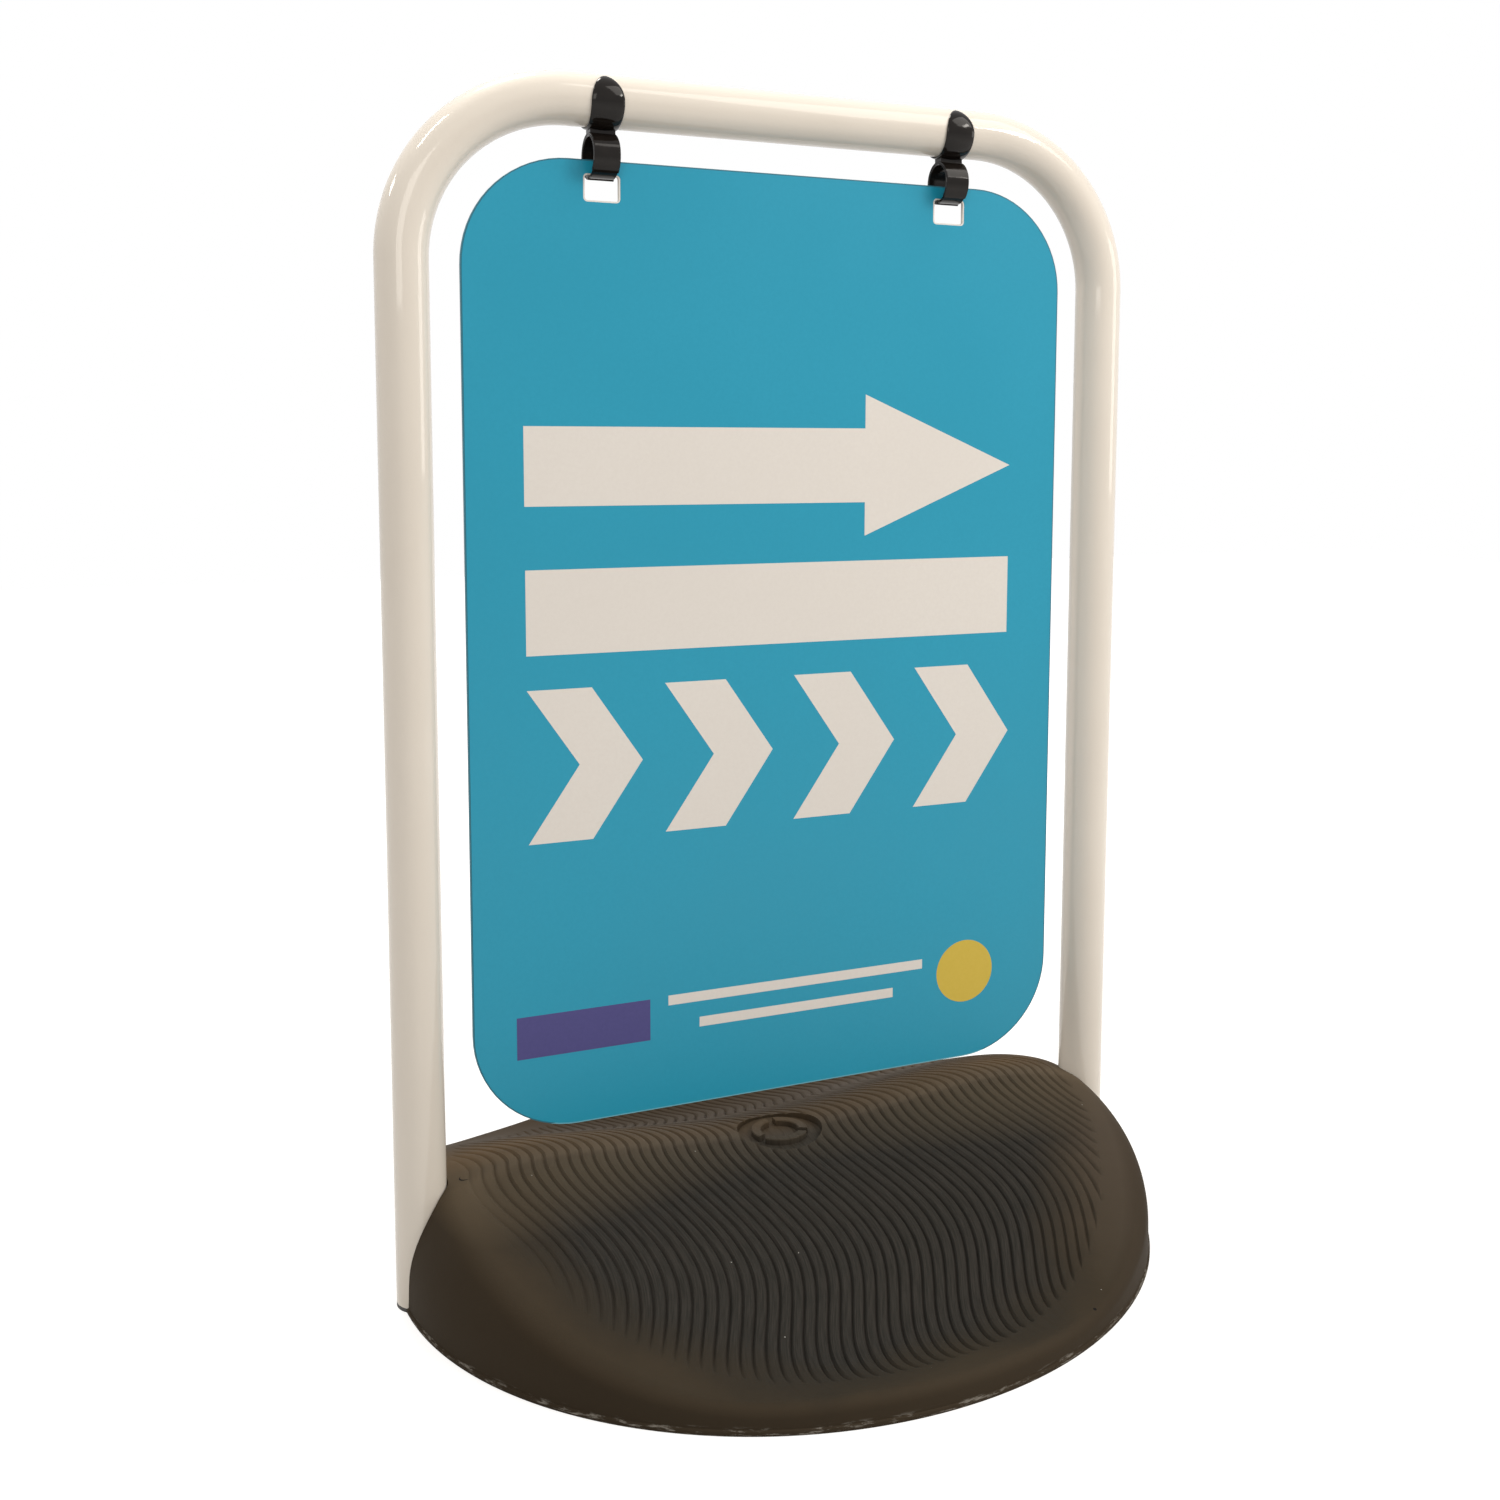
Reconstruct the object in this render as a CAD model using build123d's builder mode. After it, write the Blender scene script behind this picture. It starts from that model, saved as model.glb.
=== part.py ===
from build123d import *
import math
import os

os.makedirs("parts", exist_ok=True)

# Swing sign: a hoop of tube stands in a heavy oval base, and a panel hangs from its bar on two hangers.
# X runs along the bar, Y from front to back, Z up. The origin is on the floor, under the middle.

# Panel board and its printed films
panel_width = 500.0
panel_height = 730.0
board_thickness = 3.0
panel_corner_radius = 80.0
film_thickness = 0.2
film_margin = 1.0
film_slot_margin = 1.2

# Slots that the hangers pass through
slot_width = 26.0
slot_height = 18.0
slot_edge_distance = 11.0
slot_corner_radius = 2.0
slot_edge_round = 1.4
slot_spacing = 290.0

# Frame tube
tube_diameter = 38.0
tube_wall = 2.0
bend_radius = 120.0
panel_side_gap = 22.0

# Hanger: a clip round the bar and a ring below it
clip_clearance = 0.06
clip_wall = 3.0
clip_width = 24.0
clip_tip_angle = 58.0
clip_belly = 4.0
clip_tip_rise = 1.5
ring_inner_radius = 14.0
ring_wall = 3.0
ring_width = 20.0
ring_step_depth = 0.8
ring_step_angle = 42.0
neck_height = 0.5
neck_width = 10.0
seat_gap = 0.3

# Base moulding
leg_to_base_end = 15.0
base_half_depth = 293.0
base_lip_height = 4.0
base_wall_taper = 8.0
top_cut_margin = 15.0
panel_base_gap = 34.0
crown_height = 85.0
shoulder_height = 97.0
end_height = 80.0
front_rim_height = 20.0
front_dish_height = 15.5
side_rim_height = 22.0
side_dish_height = 24.0
rim_inset = 15.0
dish_inset = 36.0
shoulder_inset = 71.0
channel_clearance = 1.0

# Round recess in the middle of the base, with three raised arcs
recess_radius = 35.0
recess_depth = 6.0
figure_radius = 23.0
figure_band = 10.0
figure_height = 3.0
figure_gap = 9.0

# Wavy ribs on the base's top, with a groove for every fifth of the real ones
rib_pitch = 9.55
pitches_per_groove = 5
groove_depth = 1.7
wave_swing = 16.6
wave_length = 217.0
straight_half_length = 23.0
rib_end_inset = 56.0
rib_front_inset = 31.0
recess_border = 3.0

# Tie strap under the base, which holds the legs in their channels
strap_width = 30.0
strap_thickness = 4.0
strap_ground_gap = 4.0
strap_height = 46.0
strap_bend_radius = 6.0
groove_clearance = 0.5
pocket_width = 42.0
pocket_height = 50.0
spanner_room = 25.0

# Bolts and washers
bolt_height = 30.0
bolt_diameter = 8.0
bolt_hole_clearance = 0.2
bolt_head_width = 13.0
bolt_head_height = 5.3
bolt_length = 22.0
washer_diameter = 16.0
washer_thickness = 1.6

# Threaded inserts in the legs
insert_flange_radius = 7.5
insert_flange_thickness = 1.5
insert_body_radius = 5.5
insert_body_length = 16.0
insert_collar_radius = 6.5
insert_collar_start = 5.5
insert_collar_length = 4.0
insert_clearance = 0.1

# Plugs in the open ends of the legs
plug_flange_thickness = 3.0
plug_stem_length = 18.0
plug_wall = 2.5
plug_clearance = 0.1

# Places of the panel and its slots
tube_radius = tube_diameter / 2
tube_bore_radius = tube_radius - tube_wall
leg_x = panel_width / 2 + panel_side_gap + tube_radius
slot_x = slot_spacing / 2
panel_bottom = crown_height + panel_base_gap
panel_top = panel_bottom + panel_height
panel_centre = panel_bottom + panel_height / 2
slot_top = panel_top - slot_edge_distance
slot_centre = slot_top - slot_height / 2

# Places of the hangers and the bar, each seated on the one below
clip_inner_radius = tube_radius + clip_clearance
clip_outer_radius = clip_inner_radius + clip_wall
ring_outer_radius = ring_inner_radius + ring_wall
ring_z = slot_top - seat_gap + ring_inner_radius
bar_z = ring_z + ring_outer_radius + neck_height + clip_outer_radius

# Places along the tie, outwards from the bolt's head to the leg
base_half_length = leg_x + leg_to_base_end
insert_face_x = leg_x - tube_radius - insert_clearance - insert_flange_thickness
upstand_face_x = insert_face_x - insert_clearance
washer_face_x = upstand_face_x - strap_thickness
head_face_x = washer_face_x - washer_thickness
pocket_end_x = head_face_x - bolt_head_height - spanner_room

# Heights of the base's top, as (distance from the ridge, height) for the middle, shoulders and ends
rim_y = base_half_depth - rim_inset
cut_y = base_half_depth + top_cut_margin
dish_y = base_half_depth - dish_inset
middle_section = [(0, crown_height), (55, 76), (105, 56), (185, 27), (dish_y, front_dish_height),
                  (rim_y, front_rim_height), (cut_y, front_rim_height)]
shoulder_section = [(0, shoulder_height), (55, 88), (105, 71), (185, 39), (dish_y, side_dish_height),
                    (rim_y, side_rim_height), (cut_y, side_rim_height)]
end_section = [(0, end_height), (55, 73), (105, 60), (185, 38), (dish_y, side_dish_height),
               (rim_y, side_rim_height), (cut_y, side_rim_height)]
shoulder_x = base_half_length - shoulder_inset
stations = [(-base_half_length, end_section), (-shoulder_x, shoulder_section), (0, middle_section),
            (shoulder_x, shoulder_section), (base_half_length, end_section)]
cut_top = shoulder_height + 2 * top_cut_margin
recess_floor = crown_height - recess_depth

# Space above the base's saddle-shaped top
with BuildPart() as over_top:
    for x, half in stations:
        front = [(-y, z) for y, z in reversed(half)]
        with BuildSketch(Plane.YZ.offset(x)):
            with BuildLine():
                profile = Spline(*front, *half[1:], tangents=[(1, 0), (1, 0)])
                Polyline(profile @ 1, (cut_y, cut_top), (-cut_y, cut_top), profile @ 0)
            make_face()
    loft()

# Grooves between the main ribs: square bars, corner down, along wavy lines on the top
half_wave = [(straight_half_length + step * wave_length / 8,
              wave_swing * (1 - math.cos(step * math.pi / 4))) for step in range(9)]
whole_wave = [(-y, x) for y, x in reversed(half_wave)] + [(0, 0), *half_wave]
rib_half_length = base_half_length - rib_end_inset
rib_half_depth = base_half_depth - rib_front_inset
groove_spacing = pitches_per_groove * rib_pitch
first_groove = math.ceil((wave_swing / 2 - rib_half_length) / groove_spacing)
last_groove = math.floor((rib_half_length - 2 * wave_swing) / groove_spacing)
with BuildPart() as rib_grooves:
    for groove in range(first_groove, last_groove + 1):
        groove_x = groove * groove_spacing
        points = []
        for y, wave_x in whole_wave:
            x = groove_x + wave_x
            if math.hypot(x / rib_half_length, y / rib_half_depth) < 1:
                hits = over_top.part.find_intersection_points(Axis((x, y, 0), (0, 0, 1)))
                points.append(min((point for point, normal in hits), key=lambda point: point.Z))
        runs = [points]
        if abs(groove_x) < recess_radius + recess_border:
            clear = [point for point in points if math.hypot(point.X, point.Y) > recess_radius + recess_border]
            runs = [[point for point in clear if point.Y < 0], [point for point in clear if point.Y > 0]]
        for run in runs:
            with BuildLine() as path:
                Polyline(*run)
            with BuildSketch(Plane(origin=path.line @ 0, x_dir=(1, 0, 0), z_dir=path.line % 0)):
                RegularPolygon(groove_depth, 4)
            sweep(path=path.line, transition=Transition.RIGHT)

# Base moulding: an oval block with slightly tapered walls, cut from below and then from above
with BuildPart() as base_moulding:
    with BuildSketch(Plane.XY):
        Ellipse(base_half_length, base_half_depth)
    extrude(amount=base_lip_height)
    with BuildSketch(Plane.XY.offset(base_lip_height)):
        Ellipse(base_half_length, base_half_depth)
    extrude(amount=shoulder_height + top_cut_margin, taper=base_wall_taper)

    # Channels for the legs, open outwards because each leg stands at the very end
    with BuildSketch(Plane.XY):
        with Locations((-leg_x, 0), (leg_x, 0)):
            Circle(tube_radius + channel_clearance)
    extrude(amount=cut_top, mode=Mode.SUBTRACT)

    # Groove for the tie strap, and a pocket for each bolt's head
    with BuildSketch(Plane.XY):
        Rectangle(2 * upstand_face_x, strap_width + 2 * groove_clearance)
    extrude(amount=strap_ground_gap + strap_thickness + groove_clearance, mode=Mode.SUBTRACT)
    with BuildSketch(Plane.XY):
        with Locations((-(pocket_end_x + leg_x) / 2, 0), ((pocket_end_x + leg_x) / 2, 0)):
            Rectangle(leg_x - pocket_end_x, pocket_width)
    extrude(amount=pocket_height, mode=Mode.SUBTRACT)

    # Recess with three raised arcs
    with BuildSketch(Plane.XY.offset(recess_floor)):
        Circle(recess_radius)
    extrude(amount=cut_top - recess_floor, mode=Mode.SUBTRACT)
    with BuildSketch(Plane.XY.offset(recess_floor)):
        Circle(figure_radius)
        Circle(figure_radius - figure_band, mode=Mode.SUBTRACT)
        with PolarLocations(figure_radius, 3, start_angle=90):
            Rectangle(2 * figure_radius, figure_gap, mode=Mode.SUBTRACT)
    extrude(amount=figure_height)

    add(over_top.part, mode=Mode.SUBTRACT)
    add(rib_grooves.part, mode=Mode.SUBTRACT)

base_moulding.part.label = "base_moulding"
export_step(base_moulding.part, "parts/base_moulding.step")

# Frame tube: one length of tube with two bends, and a hole for the insert near each foot
with BuildPart() as frame_tube:
    with BuildLine(Plane.XZ):
        FilletPolyline((-leg_x, plug_flange_thickness), (-leg_x, bar_z), (leg_x, bar_z),
                       (leg_x, plug_flange_thickness), radius=bend_radius)
    with BuildSketch(Plane.XY.offset(plug_flange_thickness)):
        with Locations((-leg_x, 0)):
            Circle(tube_radius)
            Circle(tube_bore_radius, mode=Mode.SUBTRACT)
    sweep()
    with BuildSketch(Plane.YZ.offset(-leg_x)):
        with Locations((0, bolt_height)):
            Circle(insert_body_radius + insert_clearance)
    extrude(amount=2 * leg_x, mode=Mode.SUBTRACT)

frame_tube.part.label = "frame_tube"
export_step(frame_tube.part, "parts/frame_tube.step")

# Tie strap: a flat bar with its ends turned up beside the legs
with BuildPart() as tie_strap:
    with BuildSketch(Plane.XZ):
        strap_top = strap_ground_gap + strap_thickness
        with BuildLine():
            Polyline((-upstand_face_x, strap_height), (-upstand_face_x, strap_ground_gap),
                     (upstand_face_x, strap_ground_gap), (upstand_face_x, strap_height),
                     (washer_face_x, strap_height), (washer_face_x, strap_top),
                     (-washer_face_x, strap_top), (-washer_face_x, strap_height), close=True)
        make_face()
    extrude(amount=strap_width / 2, both=True)
    outer_bends = tie_strap.edges().filter_by(Axis.Y).group_by(Axis.Z)[0]
    fillet(outer_bends, radius=strap_bend_radius)
    with BuildSketch(Plane.YZ.offset(-leg_x)):
        with Locations((0, bolt_height)):
            Circle(bolt_diameter / 2 + bolt_hole_clearance)
    extrude(amount=2 * leg_x, mode=Mode.SUBTRACT)

tie_strap.part.label = "tie_strap"
export_step(tie_strap.part, "parts/tie_strap.step")

# Each leg has the same plug, threaded insert, washer and bolt
for side, name in ((-1, "left"), (1, "right")):
    bolt_plane = Plane(origin=(0, 0, bolt_height), x_dir=(0, 1, 0), z_dir=(side, 0, 0))

    with BuildPart() as end_plug:
        with BuildSketch(Plane.XY):
            with Locations((side * leg_x, 0)):
                Circle(tube_radius)
        extrude(amount=plug_flange_thickness)
        with BuildSketch(Plane.XY.offset(plug_flange_thickness)):
            with Locations((side * leg_x, 0)):
                Circle(tube_bore_radius - plug_clearance)
                Circle(tube_bore_radius - plug_clearance - plug_wall, mode=Mode.SUBTRACT)
        extrude(amount=plug_stem_length)

    end_plug.part.label = name + "_end_plug"
    export_step(end_plug.part, "parts/" + name + "_end_plug.step")

    with BuildPart() as rivet_nut:
        with BuildSketch(bolt_plane.offset(insert_face_x)):
            Circle(insert_flange_radius)
        extrude(amount=insert_flange_thickness)
        with BuildSketch(bolt_plane.offset(insert_face_x + insert_flange_thickness)):
            Circle(insert_body_radius)
        extrude(amount=insert_body_length)
        with BuildSketch(bolt_plane.offset(insert_face_x + insert_collar_start)):
            Circle(insert_collar_radius)
        extrude(amount=insert_collar_length)
        with BuildSketch(bolt_plane.offset(insert_face_x)):
            Circle(bolt_diameter / 2 + insert_clearance)
        extrude(amount=insert_flange_thickness + insert_body_length, mode=Mode.SUBTRACT)

    rivet_nut.part.label = name + "_rivet_nut"
    export_step(rivet_nut.part, "parts/" + name + "_rivet_nut.step")

    with BuildPart() as tie_washer:
        with BuildSketch(bolt_plane.offset(head_face_x)):
            Circle(washer_diameter / 2)
            Circle(bolt_diameter / 2 + bolt_hole_clearance, mode=Mode.SUBTRACT)
        extrude(amount=washer_thickness)

    tie_washer.part.label = name + "_tie_washer"
    export_step(tie_washer.part, "parts/" + name + "_tie_washer.step")

    with BuildPart() as tie_bolt:
        with BuildSketch(bolt_plane.offset(head_face_x)):
            RegularPolygon(bolt_head_width / 2, 6, major_radius=False)
        extrude(amount=-bolt_head_height)
        with BuildSketch(bolt_plane.offset(head_face_x)):
            Circle(bolt_diameter / 2)
        extrude(amount=bolt_length)

    tie_bolt.part.label = name + "_tie_bolt"
    export_step(tie_bolt.part, "parts/" + name + "_tie_bolt.step")

# Hangers: one moulding each, a clip that is open at the top and a ring that carries the panel
tip_reach = 2 * clip_outer_radius
tip_y = tip_reach * math.cos(math.radians(clip_tip_angle))
tip_z = tip_reach * math.sin(math.radians(clip_tip_angle))
step_reach = 2 * ring_outer_radius
step_y = step_reach * math.sin(math.radians(ring_step_angle))
step_z = step_reach * math.cos(math.radians(ring_step_angle))
belly_height = clip_outer_radius * math.sin(math.radians(clip_tip_angle)) + clip_belly + clip_tip_rise
for side, name in ((-1, "left"), (1, "right")):
    with BuildPart() as hanger:
        with BuildSketch(Plane.YZ.offset(side * slot_x)):
            with Locations((0, bar_z)):
                Circle(clip_outer_radius)
            with Locations((0, ring_z)):
                Circle(ring_outer_radius)
            with Locations((0, (bar_z + ring_z) / 2)):
                Rectangle(neck_width, tube_radius)
            with Locations((0, bar_z)):
                Circle(clip_inner_radius, mode=Mode.SUBTRACT)
                Polygon((0, 0), (tip_y, tip_z), (-tip_y, tip_z), align=None, mode=Mode.SUBTRACT)
            with Locations((0, ring_z)):
                Circle(ring_inner_radius, mode=Mode.SUBTRACT)
        extrude(amount=clip_width / 2, both=True)

        # Seen from the front, the clip is a rounded tongue and the ring a straight strap
        with BuildSketch(Plane.XZ):
            with Locations((side * slot_x, bar_z - clip_belly)):
                Ellipse(clip_width / 2, belly_height)
            with Locations((side * slot_x, bar_z - clip_outer_radius / 2)):
                Rectangle(ring_width, tip_reach + step_reach, align=(Align.CENTER, Align.MAX))
        extrude(amount=tip_reach, both=True, mode=Mode.INTERSECT)

        # The ring closes low on its front, where its strap steps down to a thinner tail
        with BuildSketch(Plane.YZ.offset(side * slot_x)):
            with Locations((0, ring_z)):
                Circle(ring_outer_radius + ring_step_depth)
                Circle(ring_outer_radius - ring_step_depth, mode=Mode.SUBTRACT)
                Polygon((0, 0), (-step_y, -step_z), (0, -step_reach), align=None,
                        mode=Mode.INTERSECT)
        extrude(amount=clip_width / 2, both=True, mode=Mode.SUBTRACT)

    hanger.part.label = name + "_hanger"
    export_step(hanger.part, "parts/" + name + "_hanger.step")

# Panel board: a sheet with rounded corners, and two slots whose top edges are rounded
slot_places = [(-slot_x, slot_centre), (slot_x, slot_centre)]
with BuildPart() as panel_board:
    with BuildSketch(Plane.XZ):
        with Locations((0, panel_centre)):
            RectangleRounded(panel_width, panel_height, panel_corner_radius)
        with Locations(*slot_places):
            RectangleRounded(slot_width, slot_height, slot_corner_radius, mode=Mode.SUBTRACT)
    extrude(amount=board_thickness / 2, both=True)
    for x, z in slot_places:
        with BuildSketch(Plane.YZ.offset(x)):
            with Locations((0, slot_top)):
                Rectangle(board_thickness, slot_edge_round, align=(Align.CENTER, Align.MIN))
                RectangleRounded(board_thickness, 3 * slot_edge_round, slot_edge_round,
                                 align=(Align.CENTER, Align.MIN), mode=Mode.SUBTRACT)
    extrude(amount=slot_width / 2 - slot_corner_radius, both=True, mode=Mode.SUBTRACT)

panel_board.part.label = "panel_board"
export_step(panel_board.part, "parts/panel_board.step")

# Printed films, cut back a little from the board's outline and from its slots
for side, name in ((1, "front"), (-1, "rear")):
    with BuildPart() as film:
        with BuildSketch(Plane.XZ.offset(side * board_thickness / 2)):
            with Locations((0, panel_centre)):
                RectangleRounded(panel_width - 2 * film_margin, panel_height - 2 * film_margin,
                                 panel_corner_radius - film_margin)
            with Locations(*slot_places):
                RectangleRounded(slot_width + 2 * film_slot_margin, slot_height + 2 * film_slot_margin,
                                 slot_corner_radius + film_slot_margin, mode=Mode.SUBTRACT)
        extrude(amount=side * film_thickness)

    film.part.label = name + "_print"
    export_step(film.part, "parts/" + name + "_print.step")
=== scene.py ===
import math

import bmesh
import bpy
import numpy as np
from mathutils import Matrix, Vector


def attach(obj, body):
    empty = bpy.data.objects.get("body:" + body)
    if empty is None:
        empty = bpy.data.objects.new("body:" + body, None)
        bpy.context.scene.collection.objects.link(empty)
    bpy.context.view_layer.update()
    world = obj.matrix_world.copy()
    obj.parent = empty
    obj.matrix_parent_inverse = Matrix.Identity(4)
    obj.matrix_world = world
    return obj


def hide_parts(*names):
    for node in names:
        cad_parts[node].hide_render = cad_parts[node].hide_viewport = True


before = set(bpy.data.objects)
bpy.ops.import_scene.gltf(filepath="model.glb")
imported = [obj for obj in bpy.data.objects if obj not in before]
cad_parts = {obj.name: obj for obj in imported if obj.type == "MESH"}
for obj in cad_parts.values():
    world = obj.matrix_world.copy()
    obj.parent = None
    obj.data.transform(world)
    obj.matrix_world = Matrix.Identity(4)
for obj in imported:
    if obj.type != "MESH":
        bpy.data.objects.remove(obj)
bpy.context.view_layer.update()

scene = bpy.context.scene
scene.view_settings.view_transform = "Standard"

# Viewpoint: left of the sign at a little over half its height, looking slightly down and turned in
# towards the middle of the bar. A small shift sets the sign in its place in the square picture.
camera_place = Vector((-0.524896, -1.231034, 0.657837))
camera_turn = 0.443937
camera_dip = 0.110604
camera_tilt = 0.0080084
film_width = 36
lens_length = 40.725
shift_across = -0.0668
shift_up = -0.0912
camera = bpy.data.objects.new("camera", bpy.data.cameras.new("camera"))
scene.collection.objects.link(camera)
scene.camera = camera
ahead = Vector((math.sin(camera_turn) * math.cos(camera_dip),
                math.cos(camera_turn) * math.cos(camera_dip), -math.sin(camera_dip)))
level = Vector((math.cos(camera_turn), -math.sin(camera_turn), 0))
upward = level.cross(ahead)
across = math.cos(camera_tilt) * level + math.sin(camera_tilt) * upward
upright = math.cos(camera_tilt) * upward - math.sin(camera_tilt) * level
camera_axes = Matrix((across, upright, -ahead)).transposed()
camera.matrix_world = Matrix.Translation(camera_place) @ camera_axes.to_4x4()
camera.data.sensor_width = film_width
camera.data.lens = lens_length
camera.data.shift_x = shift_across
camera.data.shift_y = shift_up


# Studio: a plain pale floor that keeps the sign's soft shadow, a white surround, a broad soft
# light overhead, two fills and a few strip lamps like those of a shop ceiling.
white = (1, 1, 1, 1)
surround_tint = (1.0, 0.97, 0.93, 1)
surround_strength = 0.42
floor_reach = 6
floor_grey = (0.50, 0.49, 0.48, 1)
floor_glow = 0.72
full_glow_from = 1.5
glow_rises_from = 0.6
lamp_tint = (1.0, 0.95, 0.88)
strip_aim = Vector((0, 0, 0.8))


def bench(tree):
    """Gives a function that adds one node to the tree and joins what feeds it."""
    def put(kind, *fed, at=None, pick=0, **settings):
        node = tree.nodes.new(kind)
        for key, value in settings.items():
            setattr(node, key, value)
        for place, value in [*enumerate(fed), *(at or {}).items()]:
            if isinstance(value, bpy.types.NodeSocket):
                tree.links.new(value, node.inputs[place])
            elif value is not None:
                node.inputs[place].default_value = value
        return node.outputs[pick]
    return put


def seen_directly(put):
    """1 for a ray from the camera, or one that a mirror or glass sends on from it."""
    paths = [put("ShaderNodeLightPath").node.outputs[kind] for kind in
             ("Is Camera Ray", "Is Glossy Ray", "Is Transmission Ray")]
    either = put("ShaderNodeMath", paths[0], paths[1], operation="MAXIMUM")
    return put("ShaderNodeMath", either, paths[2], operation="MAXIMUM")


world = bpy.data.worlds.new("surround")
world.use_nodes = True
world.node_tree.nodes.clear()
put = bench(world.node_tree)
soft_light = put("ShaderNodeBackground", surround_tint, surround_strength)
plain_white = put("ShaderNodeBackground", white, 1.0)
surround = put("ShaderNodeMixShader", seen_directly(put), soft_light, plain_white)
world_out = world.node_tree.nodes.new("ShaderNodeOutputWorld")
world.node_tree.links.new(surround, world_out.inputs[0])
scene.world = world

floor_mesh = bpy.data.meshes.new("floor")
floor_corners = [(x * floor_reach, y * floor_reach, 0) for x, y in ((-1, -1), (1, -1), (1, 1), (-1, 1))]
floor_mesh.from_pydata(floor_corners, [], [(0, 1, 2, 3)])
floor = bpy.data.objects.new("floor", floor_mesh)
scene.collection.objects.link(floor)
floor_paint = bpy.data.materials.new("pale_floor")
floor_paint.use_nodes = True
floor_paint.node_tree.nodes.clear()
put = bench(floor_paint.node_tree)
pale = put("ShaderNodeBsdfDiffuse", floor_grey)
far_off = put("ShaderNodeVectorMath", put("ShaderNodeTexCoord", pick=3), operation="LENGTH", pick=1)
far_glow = put("ShaderNodeMapRange", far_off, glow_rises_from, full_glow_from, floor_glow, 1.0)
seen_glow = put("ShaderNodeMath", seen_directly(put), far_glow, operation="MULTIPLY")
lit_floor = put("ShaderNodeAddShader", pale, put("ShaderNodeEmission", white, seen_glow))
floor_out = floor_paint.node_tree.nodes.new("ShaderNodeOutputMaterial")
floor_paint.node_tree.links.new(lit_floor, floor_out.inputs[0])
floor_mesh.materials.append(floor_paint)


def lamp(name, place, aim, size, power):
    """A square soft lamp, turned to face the aim."""
    light = bpy.data.lights.new(name, "AREA")
    light.shape = "SQUARE"
    light.size = size
    light.energy = power
    light.color = lamp_tint
    holder = bpy.data.objects.new(name, light)
    scene.collection.objects.link(holder)
    holder.location = place
    holder.rotation_mode = "QUATERNION"
    holder.rotation_quaternion = (Vector(aim) - Vector(place)).to_track_quat("-Z", "Y")
    return holder


def strip_lamp(name, start, end, width, power):
    """A long lamp between two places, turned to face the sign."""
    start, end = Vector(start), Vector(end)
    holder = lamp(name, (start + end) / 2, strip_aim, (end - start).length, power)
    holder.data.shape = "RECTANGLE"
    holder.data.size_y = width
    back = (holder.location - strip_aim).normalized()
    side = back.cross((end - start).cross(back)).normalized()
    holder.rotation_quaternion = Matrix((side, back.cross(side), back)).transposed().to_quaternion()


lamp("overhead", (1.3, -1.3, 2.4), (0, 0, 0.4), 1.5, 27)
lamp("fill_front", (-1.2, -2.5, 1.5), (0, 0, 0.5), 1.2, 16)
lamp("low_right", (2.2, -0.9, 0.9), (0.1, 0, 0.1), 0.8, 8)
strip_lamp("ceiling_left", (-1.34, -0.20, 2.03), (-0.97, -0.12, 2.30), 0.22, 7)
strip_lamp("ceiling_back", (-0.46, 0.74, 2.29), (-0.11, 0.49, 2.42), 0.34, 15)
strip_lamp("ceiling_right", (0.98, -1.26, 1.49), (1.22, -0.91, 1.75), 0.18, 6)
strip_lamp("far_left", (-1.65, 0.35, 1.60), (-1.50, 0.63, 1.66), 0.16, 3)


# Ribbed base: one heavy pressing of recycled plastic, oval in plan, with a saddle-shaped top, a rolled
# rim, wavy anti-slip ribs and a round recess. The legs stand in open channels in its two ends.
base_half_length = 0.306
base_half_depth = 0.293
lip_height = 0.004
lip_setback = 0.0012
shoulder_x = 0.235
side_rim = [(0.257, 0.024), (0.278, 0.022), (0.308, 0.022)]
middle_stops = [(0, 0.085), (0.055, 0.076), (0.105, 0.056), (0.185, 0.027),
                (0.257, 0.0155), (0.278, 0.020), (0.308, 0.020)]
shoulder_stops = [(0, 0.097), (0.055, 0.088), (0.105, 0.071), (0.185, 0.039), *side_rim]
end_stops = [(0, 0.080), (0.055, 0.073), (0.105, 0.060), (0.185, 0.038), *side_rim]
flank_radius = 0.100
flank_start = 0.024
flank_lean = 0.03
flank_share = 0.9
front_roll = 0.008
end_roll = 0.020
roll_gauge_inset = 0.02
roll_grows_from = 0.02
roll_growth_height = 0.06


def fair_curve(stops):
    """Height at a distance from the ridge: a smooth curve through the stops, level at both ends."""
    reach, height = np.array(stops).T
    gap = np.diff(reach)
    rise = np.diff(height) / gap
    count = len(reach)
    rows = np.eye(count)
    right = np.zeros(count)
    for i in range(1, count - 1):
        rows[i, i - 1:i + 2] = gap[i], 2 * (gap[i - 1] + gap[i]), gap[i - 1]
        right[i] = 3 * (gap[i] * rise[i - 1] + gap[i - 1] * rise[i])
    slope = np.linalg.solve(rows, right)

    def at(y):
        y = np.clip(np.abs(y), reach[0], reach[-1])
        i = np.clip(np.searchsorted(reach, y, side="right") - 1, 0, count - 2)
        t = (y - reach[i]) / gap[i]
        return (height[i] * (1 + 2 * t) * (1 - t) ** 2 + height[i + 1] * t * t * (3 - 2 * t)
                + gap[i] * (slope[i] * t * (1 - t) ** 2 - slope[i + 1] * t * t * (1 - t)))
    return at


middle_curve, shoulder_curve, end_curve = map(fair_curve, (middle_stops, shoulder_stops, end_stops))


def saddle(x, y):
    """Height of the base's top. It passes through the middle, shoulder and end curves."""
    middle = middle_curve(y)
    to_shoulder = shoulder_curve(y) - middle
    to_end = end_curve(y) - middle
    quartic = ((to_end - to_shoulder * (base_half_length / shoulder_x) ** 2)
               / (base_half_length ** 4 - base_half_length ** 2 * shoulder_x ** 2))
    square = to_shoulder / shoulder_x ** 2 - quartic * shoulder_x ** 2
    return middle + square * x ** 2 + quartic * x ** 4


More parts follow.
